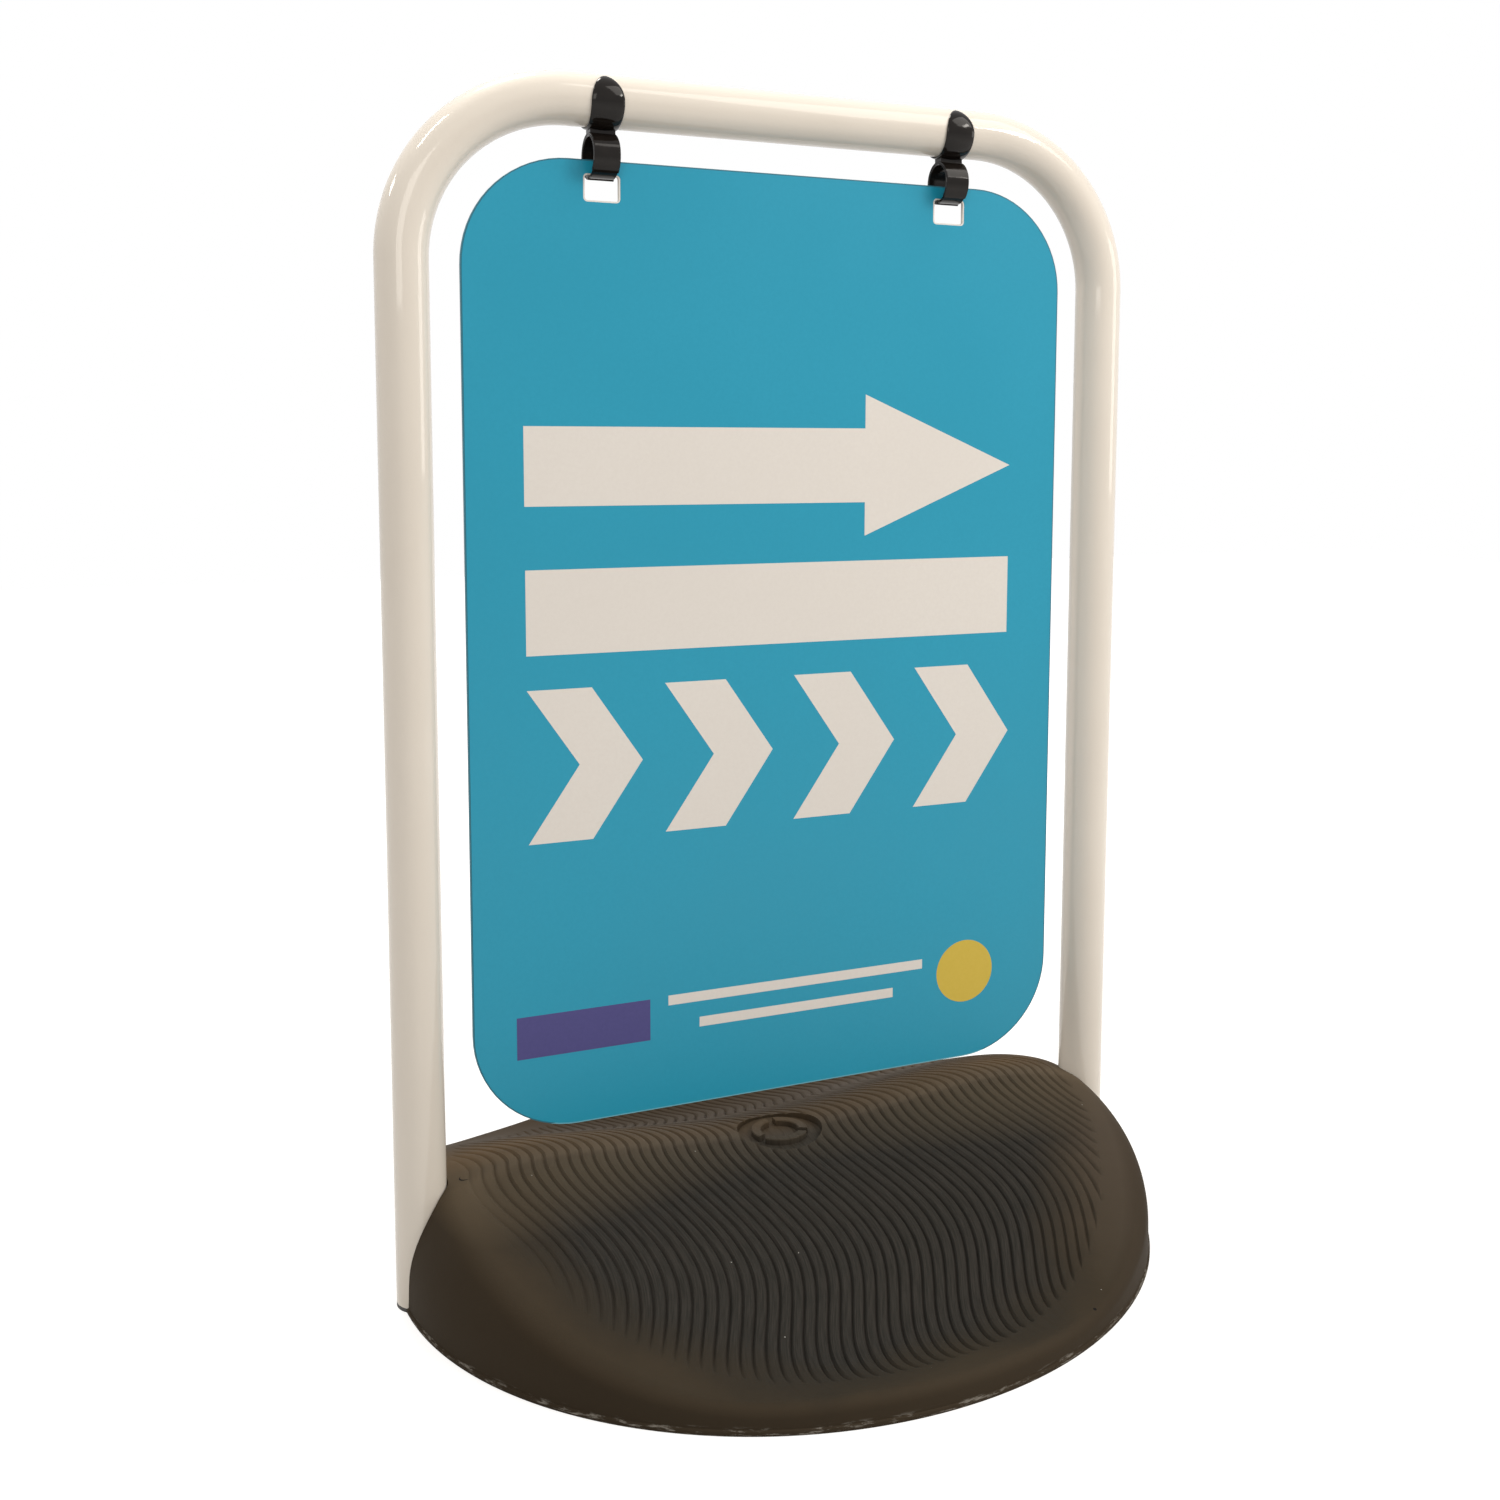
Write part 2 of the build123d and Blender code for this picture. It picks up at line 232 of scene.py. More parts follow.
def flank(z):
    """How far the side wall stands in from the foot at height z, and its lean there."""
    over = np.clip(z - flank_start, 0, flank_share * flank_radius)
    back = np.sqrt(flank_radius ** 2 - over ** 2)
    inset = lip_setback + flank_lean * np.clip(z - lip_height, 0, None) + flank_radius - back
    return inset, np.arctan(flank_lean + over / back)


def loft(rings, name, endless=False):
    """A mesh through rings of points, each ring a closed loop, with its two ends closed or joined."""
    rings = np.asarray(rings)
    stations, around = rings.shape[:2]
    faces = []
    for i in range(stations if endless else stations - 1):
        k = (i + 1) % stations
        for j in range(around):
            n = (j + 1) % around
            faces.append((i * around + j, i * around + n, k * around + n, k * around + j))
    if not endless:
        faces.append(tuple(range(around))[::-1])
        faces.append(tuple(range((stations - 1) * around, stations * around)))
    mesh = bpy.data.meshes.new(name)
    mesh.from_pydata(rings.reshape(-1, 3).tolist(), [], faces)
    whole = bmesh.new()
    whole.from_mesh(mesh)
    bmesh.ops.recalc_face_normals(whole, faces=whole.faces)
    whole.to_mesh(mesh)
    whole.free()
    piece = bpy.data.objects.new(name, mesh)
    scene.collection.objects.link(piece)
    return piece


def settle(piece):
    """Turns what the modifiers make of a piece into its plain mesh."""
    shaped = bpy.data.meshes.new_from_object(piece.evaluated_get(bpy.context.evaluated_depsgraph_get()))
    piece.modifiers.clear()
    piece.data = shaped


def join_solids(piece, tool, how="DIFFERENCE"):
    """Cuts the tool out of the piece, or welds it on."""
    change = piece.modifiers.new("join", "BOOLEAN")
    change.operation = how
    change.solver = "MANIFOLD"
    change.object = tool
    settle(piece)
    bpy.data.objects.remove(tool)


def paint(piece, material):
    """One material all over a piece, on its cut faces too."""
    piece.data.materials.clear()
    piece.data.materials.append(material)
    piece.data.polygons.foreach_set("material_index", [0] * len(piece.data.polygons))


def smooth(piece, crease):
    """Shades a piece smooth, but for edges that turn by more than the crease, in degrees."""
    piece.data.shade_smooth()
    piece.data.set_sharp_from_angle(angle=math.radians(crease))


def block(name, low, high):
    """A box between its lowest and highest corners."""
    (x0, y0, z0), (x1, y1, z1) = low, high
    return loft([[(x0, y0, z), (x1, y0, z), (x1, y1, z), (x0, y1, z)] for z in (z0, z1)], name)


def round_angles(steps):
    return np.linspace(0, 2 * math.pi, steps, endpoint=False)


def drum(name, centre_x, radius, z0, z1, steps=96):
    """An upright round bar, centred at a place along the sign."""
    rim = [(centre_x + radius * math.cos(a), radius * math.sin(a)) for a in round_angles(steps)]
    return loft([[(x, y, z) for x, y in rim] for z in (z0, z1)], name)


round_steps = 288
turn = round_angles(round_steps)


def plan(inset):
    """The oval, drawn in by the inset."""
    return (base_half_length - inset) * np.cos(turn), (base_half_depth - inset) * np.sin(turn)


def top_from_edge(inset):
    return saddle(*plan(inset))


# The rim is a round that touches the top and the wall. Halving finds how far in it touches the top.
high_share = np.clip((top_from_edge(roll_gauge_inset) - roll_grows_from) / roll_growth_height, 0, 1)
roll = front_roll + (end_roll - front_roll) * high_share
halvings = 50
wall_tries = 12
probe = 1e-4
least_touch = 0.001
most_touch = 0.120
short = np.full(round_steps, least_touch)
long = np.full(round_steps, most_touch)
for _ in range(halvings):
    touch = (short + long) / 2
    climb = np.arctan((top_from_edge(touch + probe) - top_from_edge(touch - probe)) / (2 * probe))
    centre_in = touch + roll * np.sin(climb)
    centre_up = top_from_edge(touch) - roll * np.cos(climb)
    wall_up = centre_up
    for _ in range(wall_tries):
        wall_up = centre_up + roll * np.sin(flank(wall_up)[1])
    wall_in, lean = flank(wall_up)
    near = centre_in < wall_in + roll * np.cos(lean)
    short = np.where(near, touch, short)
    long = np.where(near, long, touch)

lip_profile = ((0.0010, 0.0), (0.0003, 0.0003), (0.0, 0.0010), (0.0, lip_height - 0.0006),
               (0.0004, lip_height - 0.0001), (lip_setback, lip_height + 0.0004))
wall_foot = lip_height + 0.001
wall_rings = 13
roll_rings = 11
top_rings = 64
rings = []
for inset, height in lip_profile:
    rings.append(np.stack([*plan(inset), np.full(round_steps, height)], -1))
for share in np.linspace(0, 1, wall_rings + 1)[1:]:
    z = wall_foot + (wall_up - wall_foot) * share
    rings.append(np.stack([*plan(flank(z)[0]), z], -1))
for share in np.linspace(0, 1, roll_rings + 1)[1:]:
    swing = lean + (math.pi / 2 - climb - lean) * share
    inset = centre_in - roll * np.cos(swing)
    rings.append(np.stack([*plan(inset), centre_up + roll * np.sin(swing)], -1))
edge_x, edge_y = plan(touch)
for share in 1 - np.linspace(0, 1, top_rings + 2)[1:-1]:
    rings.append(np.stack([edge_x * share, edge_y * share, saddle(edge_x * share, edge_y * share)], -1))
base = loft(rings, "ribbed_base")

# The ribs stand between wavy grooves. Behind the ridge the wave is shorter and starts sooner, and at the
# left the grooves run out softly.
rib_values = {
    "Rib pitch": 0.00955,
    "Rib shift": 0.0035,
    "Ribs across": 64,
    "Columns per rib": 10,
    "Column crowding": 1.8,
    "Row spacing": 0.0058,
    "Rib crown": 0.0003,
    "Groove depth": 0.0021,
    "Groove half width": 0.0015,
    "Groove sharpness": 0.7,
    "Wave swing": 0.0166,
    "Wave length": 0.217,
    "First turn": 0.023,
    "Wave swing behind": 0.0125,
    "Wave length behind": 0.190,
    "First turn behind": 0.005,
    "Field half length": 0.262,
    "Field half depth": 0.262,
    "Field squareness": 2.0,
    "Soft ends up to": -0.24,
    "Crisp ends from": 0.05,
    "Soft run-out": 0.12,
    "Crisp run-out": 0.02,
    "Recess radius": 0.035,
    "Recess margin": 0.0005,
    "Recess run-out": 0.0020,
    "Sink": 0.00035,
}
field_overhang = 1.08
sheet_parts_from = 0.975
sheet_parts_by = 1.005
lift_from = 1.01
lift_slope = 0.5
clear_height = 0.14
ray_height = 0.3
lid_height = 0.1
weld_distance = 1e-6


def named_inputs(tree, values):
    """Gives a tree its sizes and its material as inputs."""
    tree.interface.new_socket("Geometry", in_out="INPUT", socket_type="NodeSocketGeometry")
    tree.interface.new_socket("Geometry", in_out="OUTPUT", socket_type="NodeSocketGeometry")
    for name, value in values.items():
        kind = "NodeSocketInt" if isinstance(value, int) else "NodeSocketFloat"
        tree.interface.new_socket(name, in_out="INPUT", socket_type=kind)
    tree.interface.new_socket("Material", in_out="INPUT", socket_type="NodeSocketMaterial")


def end_tree(tree, put, shape, material):
    """Makes instances real, gives the shape its material and leads it out of the tree."""
    real = put("GeometryNodeRealizeInstances", shape)
    coloured = put("GeometryNodeSetMaterial", real, at={"Material": material})
    tree.links.new(coloured, tree.nodes.new("NodeGroupOutput").inputs[0])


def grow(piece, tree, values, material):
    """Runs a Geometry Nodes tree on a piece and keeps the mesh that it makes."""
    growth = piece.modifiers.new(tree.name, "NODES")
    growth.node_group = tree
    for socket in tree.interface.items_tree:
        if socket.in_out == "INPUT" and socket.name in values:
            growth[socket.identifier] = values[socket.name]
        if socket.in_out == "INPUT" and socket.name == "Material":
            growth[socket.identifier] = material
    settle(piece)


def counter(put):
    """Gives a function for arithmetic between node outputs."""
    def do(kind, *fed, **settings):
        return put("ShaderNodeMath", *fed, operation=kind, **settings)
    return do


def fader(put):
    """Gives a function that turns one range of a value into another, held at both ends."""
    def fade(value, start, end, low=0.0, high=1.0, **settings):
        return put("ShaderNodeMapRange", value, start, end, low, high, **settings)
    return fade


def rib_sway(do, depth, swing, length, first_turn):
    """How far aside a rib stands at a depth: a cosine wave that starts at its first turn."""
    past_turn = do("DIVIDE", do("SUBTRACT", do("ABSOLUTE", depth), first_turn), length)
    at_ridge = do("DIVIDE", first_turn, length)
    fall = do("SUBTRACT", do("COSINE", do("MULTIPLY", at_ridge, 2 * math.pi)),
              do("COSINE", do("MULTIPLY", past_turn, 2 * math.pi)))
    return do("MULTIPLY", do("MULTIPLY", fall, swing), do("MULTIPLY", do("SIGN", depth), -1.0))


def oval_reach(do, x, y, half_length, half_depth, squareness):
    """1 on an oval of these half sizes, less inside it and more outside."""
    part_x = do("POWER", do("DIVIDE", do("ABSOLUTE", x), half_length), squareness)
    part_y = do("POWER", do("DIVIDE", do("ABSOLUTE", y), half_depth), squareness)
    return do("POWER", do("ADD", part_x, part_y), do("DIVIDE", 1.0, squareness))


rib_tree = bpy.data.node_groups.new("wavy_ribs", "GeometryNodeTree")
named_inputs(rib_tree, rib_values)
put = bench(rib_tree)
do = counter(put)
fade = fader(put)
feed = rib_tree.nodes.new("NodeGroupInput").outputs

# A flat sheet, with its columns crowded towards the grooves, is bent along the wave.
columns = do("MULTIPLY", feed["Ribs across"], feed["Columns per rib"])
long_side = do("MULTIPLY", feed["Ribs across"], feed["Rib pitch"])
deep_side = do("MULTIPLY", feed["Field half depth"], 2 * field_overhang)
rows = do("DIVIDE", deep_side, feed["Row spacing"])
sheet = put("GeometryNodeMeshGrid", long_side, deep_side, do("ADD", columns, 1), do("ADD", rows, 1))
spot = put("ShaderNodeSeparateXYZ", put("GeometryNodeInputPosition"))
along, depth = spot.node.outputs[0], spot.node.outputs[1]
turns_along = do("DIVIDE", along, feed["Rib pitch"])
nearest = do("ROUND", turns_along)
aside = do("SUBTRACT", turns_along, nearest)
to_crest = do("POWER", do("MULTIPLY", do("ABSOLUTE", aside), 2.0), feed["Column crowding"])
drawn_in = do("MULTIPLY", to_crest, 0.5)
from_groove = do("MULTIPLY", drawn_in, feed["Rib pitch"])
groove_x = do("MULTIPLY", nearest, feed["Rib pitch"])
rib_x = do("ADD", groove_x, do("MULTIPLY", from_groove, do("SIGN", aside)))
behind = do("GREATER_THAN", depth, 0.0)
wave_swing, wave_length, first_turn = [
    put("GeometryNodeSwitch", behind, feed[name], feed[name + " behind"], input_type="FLOAT")
    for name in ("Wave swing", "Wave length", "First turn")]
sway = rib_sway(do, depth, wave_swing, wave_length, first_turn)
place_x = do("ADD", do("ADD", rib_x, sway), feed["Rib shift"])
outness = oval_reach(do, place_x, depth, feed["Field half length"], feed["Field half depth"],
                     feed["Field squareness"])

# The sheet is laid on the base, and pressed in along each groove.
over_base = put("ShaderNodeCombineXYZ", place_x, depth, ray_height)
base_seen = put("GeometryNodeRaycast", feed["Geometry"], at={
    "Source Position": over_base, "Ray Direction": (0, 0, -1), "Ray Length": 1.0})
landed = put("ShaderNodeSeparateXYZ", base_seen.node.outputs["Hit Position"], pick=2)
narrow = do("SUBTRACT", 1.0, do("DIVIDE", from_groove, feed["Groove half width"]), use_clamp=True)
arch = do("SUBTRACT", 1.0, do("POWER", do("MULTIPLY", drawn_in, 2.0), 2.0))
groove = do("ADD", do("MULTIPLY", do("POWER", narrow, feed["Groove sharpness"]), feed["Groove depth"]),
            do("MULTIPLY", arch, feed["Rib crown"]))
end_softness = fade(place_x, feed["Soft ends up to"], feed["Crisp ends from"],
                    feed["Soft run-out"], feed["Crisp run-out"])
run_out = do("DIVIDE", do("SUBTRACT", 1.0, outness), end_softness, use_clamp=True)
from_middle = do("SQRT", do("ADD", do("MULTIPLY", place_x, place_x), do("MULTIPLY", depth, depth)))
clear_recess = fade(do("SUBTRACT", from_middle, feed["Recess radius"]),
                    feed["Recess margin"], feed["Recess run-out"])
cut = do("MULTIPLY", do("MULTIPLY", groove, do("SQRT", run_out)), clear_recess)

# Past the edge of the field it rises through the top and stays clear of it. What is over it is cut off.
parting = fade(outness, sheet_parts_from, sheet_parts_by, 1.0, -1.0, clamp=False)
sunk = do("MULTIPLY", do("MINIMUM", parting, 1.0), feed["Sink"])
lifted = do("MULTIPLY", do("MAXIMUM", do("SUBTRACT", outness, lift_from), 0.0), lift_slope)
under = do("ADD", do("SUBTRACT", do("SUBTRACT", landed, sunk), cut), lifted)
high = put("GeometryNodeSwitch", do("GREATER_THAN", outness, field_overhang), under, clear_height,
           input_type="FLOAT")
bent_place = put("ShaderNodeCombineXYZ", place_x, depth, high)
bent = put("GeometryNodeSetPosition", sheet, at={"Position": bent_place})
raised = put("GeometryNodeExtrudeMesh", bent, at={
    "Offset": (0, 0, 1), "Offset Scale": lid_height, "Individual": False})
lid = put("GeometryNodeJoinGeometry")
for part in (raised, put("GeometryNodeFlipFaces", bent)):
    rib_tree.links.new(part, lid.node.inputs[0])
cutter = put("GeometryNodeMergeByDistance", lid, at={"Distance": weld_distance})
carved = put("GeometryNodeMeshBoolean", feed["Geometry"], cutter, operation="DIFFERENCE", solver="MANIFOLD")
end_tree(rib_tree, put, carved, feed["Material"])


def start_material(name):
    """A material with its Principled shader, and what its nodes are made with."""
    material = bpy.data.materials.new(name)
    material.use_nodes = True
    put = bench(material.node_tree)
    return material, material.node_tree.nodes["Principled BSDF"], put, put("ShaderNodeTexCoord", pick=3)


def wire(shader, **fed):
    """Feeds the shader's sockets, named with underscores."""
    for name, value in fed.items():
        socket = shader.inputs[name.replace("_", " ")]
        if isinstance(value, bpy.types.NodeSocket):
            shader.id_data.links.new(value, socket)
        else:
            socket.default_value = value


def blend_colours(put, share, first, second):
    """The first colour where the share is 0, and the second where it is 1."""
    return put("ShaderNodeMix", at={0: share, 6: first, 7: second}, pick=2, data_type="RGBA")


def mottle(put, spot, scale, detail=2.0, roughness=0.5):
    """Soft uneven patches. Their value mostly stays within mottle_span."""
    return put("ShaderNodeTexNoise", spot, at={"Scale": scale, "Detail": detail, "Roughness": roughness})


def bump(put, height, strength, distance):
    """Fine relief in the finish."""
    return put("ShaderNodeBump", at={"Strength": strength, "Distance": distance, "Height": height})


def near_to(put, spot, place, reach):
    """1 within reach of a place."""
    off = put("ShaderNodeVectorMath", spot, place, operation="DISTANCE", pick=1)
    return put("ShaderNodeMath", off, reach, operation="LESS_THAN")


# The plastic is a dull grey on the ribs and brown at the rim. It is rubbed on the crests and scuffed along
# the foot.
# Painted shade darkens the grooves (more towards the right), the outer wall and two small holes. Painted
# light lightens the part behind the ridge and the rim at the right, and the high parts near the ridge carry
# dust with painted light in it.
rib_greys = (0.018, 0.0165, 0.0135, 1), (0.027, 0.0245, 0.0205, 1)
rim_browns = (0.038, 0.027, 0.016, 1), (0.054, 0.041, 0.027, 1)
rubbed_grey = (0.052, 0.045, 0.039, 1)
# Painted shade for the grooves.
groove_shade_dark = (0.010, 0.008, 0.006, 1)
# Painted light for the rim at the right.
right_lit_brown = (0.098, 0.076, 0.058, 1)
# Painted shade for the outer wall.
shaded_wall_brown = (0.031, 0.022, 0.013, 1)
# Painted light for the part behind the ridge.
back_lit_brown = (0.068, 0.045, 0.025, 1)
# Dust with painted light, on the ridge and behind it.
ridge_dust_and_light = (0.096, 0.072, 0.045, 1)
back_dust_and_light = (0.140, 0.088, 0.043, 1)
# Painted shade inside the small holes.
hole_shade_black = (0.006, 0.005, 0.004, 1)
speck_white = (0.42, 0.40, 0.37, 1)
scuff_grey = (0.26, 0.24, 0.21, 1)
rim_oval = (0.250, 0.262)
rim_span = (0.85, 1.08)
rim_wander = 0.4
wall_shade_span = (1.10, 1.17)
wall_shade_strength = 0.8
back_light_span = (-0.004, 0.020)
back_light_strength = 0.65
dust_and_light_heights = (0.075, 0.094)
dust_and_light_strength = 0.68
back_dust_and_light_span = (0.0, 0.04)
rubbed_span = (0.35, 0.75)
rubbed_strength = 0.8
groove_side_span = (0.05, 0.13)
groove_shade_left_to_right = (-0.20, 0.10, 0.20, 0.60)
right_lit_span = (0.20, 0.34)
right_lit_wander = 0.08
right_lit_strength = 0.7
speck_cells = 75.0
speck_size = 0.035
speck_rarity = 0.90
scuff_heights = (0.0022, 0.0070)
scrape_span = (0.53, 0.62)
mottle_span = (0.3, 0.7)
streaks_across = 1100.0
streaks_along = 45.0
vent_place = (-0.2600, -0.0070, 0.094)
vent_core = (-0.2588, -0.0060, 0.094)
vent_radius = 0.0040
pinhole_place = (0.143, -0.251, float(saddle(0.143, -0.251)))
pinhole_radius = 0.0014

recycled_plastic, shader, put, spot = start_material("recycled_plastic")
do = counter(put)
fade = fader(put)
x, y, z = put("ShaderNodeSeparateXYZ", spot).node.outputs
patches = mottle(put, spot, 7.0, 5.0, 0.6)
grain = mottle(put, spot, 650.0, 3.0)
pits = mottle(put, spot, 160.0, 4.0, 0.7)
outward = oval_reach(do, x, y, *rim_oval, 2.0)
behind = do("GREATER_THAN", y, 0.0)
swing_here, length_here, turn_here = [fade(behind, 0.0, 1.0, rib_values[name], rib_values[name + " behind"])
                                      for name in ("Wave swing", "Wave length", "First turn")]
along_ribs = do("SUBTRACT", do("SUBTRACT", x, rib_values["Rib shift"]),
                rib_sway(do, y, swing_here, length_here, turn_here))
rib_turns = do("DIVIDE", along_ribs, rib_values["Rib pitch"])
off_groove = do("ABSOLUTE", do("SUBTRACT", rib_turns, do("ROUND", rib_turns)))
streak_spot = put("ShaderNodeCombineXYZ", do("MULTIPLY", along_ribs, streaks_across),
                  do("MULTIPLY", y, streaks_along), 0.0)
streaks = mottle(put, streak_spot, 1.0, 3.0, 0.6)

uneven_reach = do("ADD", outward, do("MULTIPLY", do("SUBTRACT", patches, 0.5), rim_wander))
rim_share = fade(uneven_reach, *rim_span)
on_ribs = do("SUBTRACT", 1.0, rim_share)
rubbed = do("MULTIPLY", fade(streaks, *rubbed_span), do("MULTIPLY", on_ribs, rubbed_strength))
# Painted shade: the grooves are darkened, more towards the right.
groove_shade_mask = do("MULTIPLY", fade(off_groove, *groove_side_span, 1.0, 0.0), on_ribs)
groove_shaded = do("MULTIPLY", groove_shade_mask, fade(x, *groove_shade_left_to_right))
# Painted light: the rim is lighter towards the right.
to_right = do("ADD", x, do("MULTIPLY", patches, right_lit_wander))
right_lit = do("MULTIPLY", fade(to_right, *right_lit_span), right_lit_strength)
rib_colour = blend_colours(put, patches, *rib_greys)
rib_colour = blend_colours(put, rubbed, rib_colour, rubbed_grey)
rib_colour = blend_colours(put, groove_shaded, rib_colour, groove_shade_dark)
rim_colour = blend_colours(put, patches, *rim_browns)
rim_colour = blend_colours(put, right_lit, rim_colour, right_lit_brown)
body_colour = blend_colours(put, rim_share, rib_colour, rim_colour)
# Painted shade: the outer wall is darker.
body_colour = blend_colours(put, fade(outward, *wall_shade_span, 0.0, wall_shade_strength), body_colour, shaded_wall_brown)
# Painted light: the part behind the ridge is a lighter brown.
body_colour = blend_colours(put, fade(y, *back_light_span, 0.0, back_light_strength), body_colour, back_lit_brown)
# Dust with painted light: the highest parts near the ridge are lighter, more so behind it.
dust_and_light = blend_colours(put, fade(y, *back_dust_and_light_span), ridge_dust_and_light, back_dust_and_light)
body_colour = blend_colours(put, fade(z, *dust_and_light_heights, 0.0, dust_and_light_strength), body_colour, dust_and_light)

# Painted shade: a small crescent and a pinhole are painted black for the shade inside them.
vent_shade = do("MULTIPLY", near_to(put, spot, vent_place, vent_radius),
               do("SUBTRACT", 1.0, near_to(put, spot, vent_core, vent_radius)))
hole_shades = do("MAXIMUM", vent_shade, near_to(put, spot, pinhole_place, pinhole_radius))
body_colour = blend_colours(put, hole_shades, body_colour, hole_shade_black)
cells = put("ShaderNodeTexVoronoi", spot, at={"Scale": speck_cells})
lucky = put("ShaderNodeSeparateColor", cells.node.outputs["Color"])
speck = do("MULTIPLY", do("LESS_THAN", cells, speck_size), do("GREATER_THAN", lucky, speck_rarity))
body_colour = blend_colours(put, speck, body_colour, speck_white)
scrape = mottle(put, put("ShaderNodeMapping", spot, at={"Scale": (1.0, 1.0, 7.0)}), 60.0, 6.0, 0.72)
scuffed = do("MULTIPLY", fade(z, *scuff_heights, 1.0, 0.0), fade(scrape, *scrape_span))
body_colour = blend_colours(put, scuffed, body_colour, scuff_grey)
uneven = do("ADD", do("MULTIPLY", grain, 0.35), do("MULTIPLY", pits, 0.65))
wire(shader, Base_Color=body_colour, Roughness=fade(patches, *mottle_span, 0.66, 0.78),
     Specular_IOR_Level=0.08, Normal=bump(put, uneven, 0.5, 0.0004))

grow(base, rib_tree, rib_values, recycled_plastic)

tube_radius = 0.019
leg_x = 0.291
channel_radius = 0.020
recess_floor = 0.079
strap_groove_low = (-0.2703, -0.0155)
strap_groove_high = (0.2703, 0.0155)
strap_groove_height = 0.0085
bolt_pocket_inner_x = 0.2344
bolt_pocket_half_width = 0.021
bolt_pocket_height = 0.050
tool_foot = -0.01
tool_top = 0.2
for side in (-1, 1):
    join_solids(base, drum("channel", side * leg_x, channel_radius, tool_foot, tool_top))
join_solids(base, drum("recess", 0, rib_values["Recess radius"], recess_floor, tool_top))
join_solids(base, block("strap_groove", (*strap_groove_low, tool_foot),
                        (*strap_groove_high, strap_groove_height)))
for side in (-1, 1):
    near_x, far_x = sorted((side * bolt_pocket_inner_x, side * leg_x))
    join_solids(base, block("bolt_pocket", (near_x, -bolt_pocket_half_width, tool_foot),
                            (far_x, bolt_pocket_half_width, bolt_pocket_height)))

# A plain raised ring, broken in three, stands in the recess.
figure_outer = 0.023
figure_inner = 0.0155
figure_height = 0.0050
figure_half_gap = 0.0030
figure_edge = 0.0007
figure_root = 0.001
band_steps = 17
band_profile = ((figure_inner, -figure_root), (figure_inner, figure_height - figure_edge),
                (figure_inner + figure_edge, figure_height), (figure_outer - figure_edge, figure_height),
                (figure_outer, figure_height - figure_edge), (figure_outer, -figure_root))
for third in range(3):
    middle_angle = math.radians(-90 + 120 * third)
    band = []
    for share in np.linspace(-1, 1, band_steps):
        ends = []
        for radius, lift in band_profile:
            half = math.pi / 3 - math.asin(figure_half_gap / radius)
            angle = middle_angle + share * half
            ends.append((radius * math.cos(angle), radius * math.sin(angle), recess_floor + lift))
        band.append(ends)
    join_solids(base, loft(band, "raised_band"), "UNION")
paint(base, recycled_plastic)
smooth(base, 42)
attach(base, "stand")
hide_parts("base_moulding")


# Hoop: one length of steel tube with two bends, blasted and powder coated cream. Its legs stand in
# the base's channels, and each has a hole near the foot for the threaded insert.
bar_height = 0.89126
foot_height = 0.003
insert_height = 0.030
insert_hole = 0.0056
hole_steps = 32
cream_tints = (0.72, 0.66, 0.585, 1), (0.78, 0.725, 0.65, 1)
foot_brown = (0.50, 0.43, 0.34, 1)
foot_tint_heights = (0.004, 0.050)
foot_tint_strength = 0.30
hoop_values = {
    "Bend radius": 0.120,
    "Bend steps": 40,
    "Tube radius": tube_radius,
    "Bore radius": 0.017,
    "Round steps": 96,
}
hoop_tree = bpy.data.node_groups.new("bent_tube", "GeometryNodeTree")
named_inputs(hoop_tree, hoop_values)
put = bench(hoop_tree)
feed = hoop_tree.nodes.new("NodeGroupInput").outputs
run = put("GeometryNodeFilletCurve", put("GeometryNodeMeshToCurve", feed["Geometry"]), at={
    "Radius": feed["Bend radius"], "Count": feed["Bend steps"], "Limit Radius": False}, mode="POLY")
walls = put("GeometryNodeJoinGeometry")
for radius in ("Tube radius", "Bore radius"):
    ring = put("GeometryNodeCurvePrimitiveCircle", at={
        "Resolution": feed["Round steps"], "Radius": feed[radius]})
    hoop_tree.links.new(put("GeometryNodeCurveToMesh", run, ring), walls.node.inputs[0])
end_tree(hoop_tree, put, put("GeometryNodeSetShadeSmooth", walls), feed["Material"])

cream_coat, shader, put, spot = start_material("cream_coat")
do = counter(put)
fade = fader(put)
height = put("ShaderNodeSeparateXYZ", spot, pick=2)
peel = mottle(put, spot, 420.0)
drift = mottle(put, spot, 9.0, 3.0)
# Darker and browner towards the foot of each leg.
foot_tinted = do("MULTIPLY", fade(height, *foot_tint_heights, foot_tint_strength, 0.0), drift)
coat_colour = blend_colours(put, foot_tinted, blend_colours(put, drift, *cream_tints), foot_brown)
wire(shader, Base_Color=coat_colour, Roughness=fade(drift, *mottle_span, 0.42, 0.50),
     Specular_IOR_Level=0.2, Coat_Weight=0.8, Coat_Roughness=0.05,
     Normal=bump(put, peel, 0.35, 0.0001))

hoop_path = [(-leg_x, 0, foot_height), (-leg_x, 0, bar_height),
             (leg_x, 0, bar_height), (leg_x, 0, foot_height)]
hoop_mesh = bpy.data.meshes.new("hoop")
hoop_mesh.from_pydata(hoop_path, [(0, 1), (1, 2), (2, 3)], [])
hoop = bpy.data.objects.new("hoop", hoop_mesh)
scene.collection.objects.link(hoop)
grow(hoop, hoop_tree, hoop_values, cream_coat)
whole = bmesh.new()
whole.from_mesh(hoop.data)
for side in (-1, 1):
    open_rims = [edge for edge in whole.edges if edge.is_boundary and side * edge.verts[0].co.x > 0]
    bmesh.ops.bridge_loops(whole, edges=open_rims)
bmesh.ops.recalc_face_normals(whole, faces=whole.faces)
whole.to_mesh(hoop.data)
whole.free()
hole_rim = [(insert_hole * math.cos(a), insert_height + insert_hole * math.sin(a))
            for a in round_angles(hole_steps)]
join_solids(hoop, loft([[(x, y, z) for y, z in hole_rim] for x in (-leg_x, leg_x)], "insert_holes"))
paint(hoop, cream_coat)
smooth(hoop, 42)
